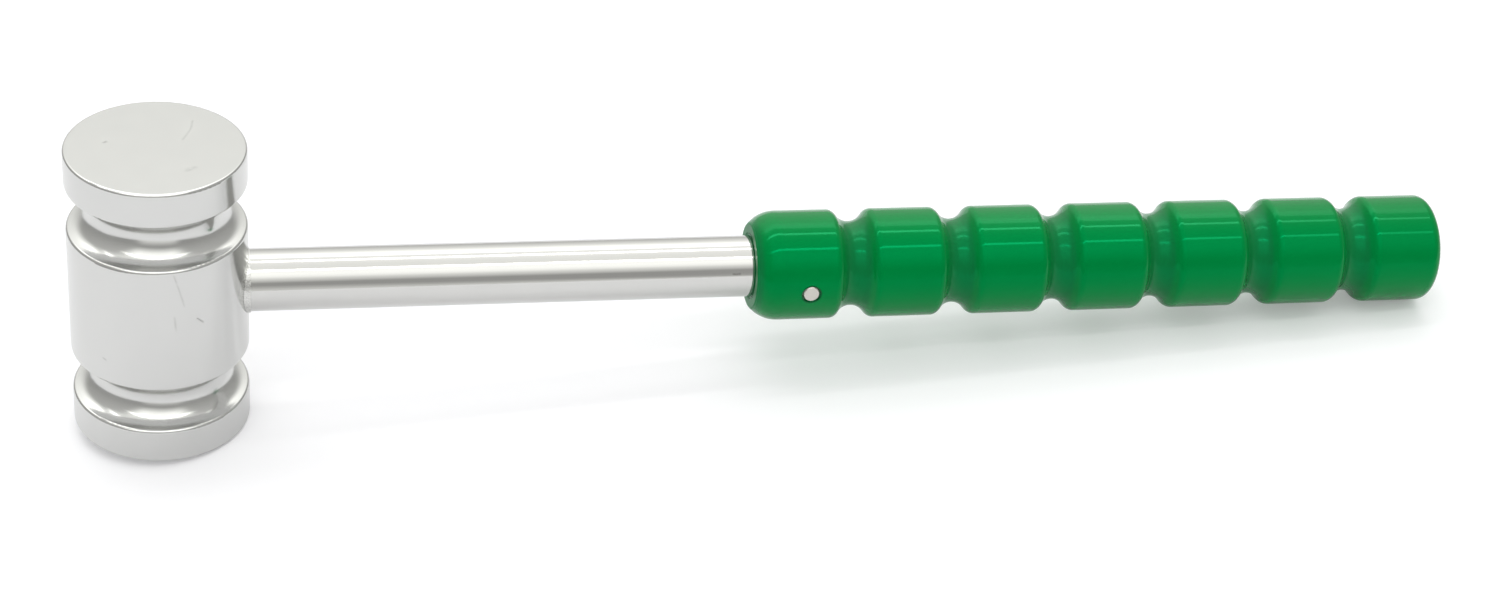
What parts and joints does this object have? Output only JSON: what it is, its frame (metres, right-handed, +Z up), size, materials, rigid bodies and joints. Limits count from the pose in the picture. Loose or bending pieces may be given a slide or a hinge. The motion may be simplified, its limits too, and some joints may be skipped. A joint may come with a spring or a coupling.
{
  "type": "surgical mallet",
  "caption": "Bone mallet with a solid round steel head with ring grooves, a slim steel shaft and a ribbed green plastic grip held by a cross pin.",
  "frame": {"origin": "on the surface that the mallet lies on, under the middle of its outer box", "axes": "+X from the head towards the end of the grip, +Z up, +Y across; the head's axis lies in the XZ plane and leans 4.59 degrees from +Z towards +X"},
  "size_m": [0.2548, 0.031, 0.0576],
  "materials": {
    "head_steel": "satin faces, polished grooves",
    "shaft_steel": "polished",
    "weld_metal": "dressed weld",
    "grip_plastic": "smooth moulded green",
    "pin_steel": "ground flush"
  },
  "bodies": {
    "root": {"head": "head_steel", "shaft": "shaft_steel", "weld_ring": "weld_metal", "grip": "grip_plastic", "grip_pin": "pin_steel"}
  },
  "joints": []
}
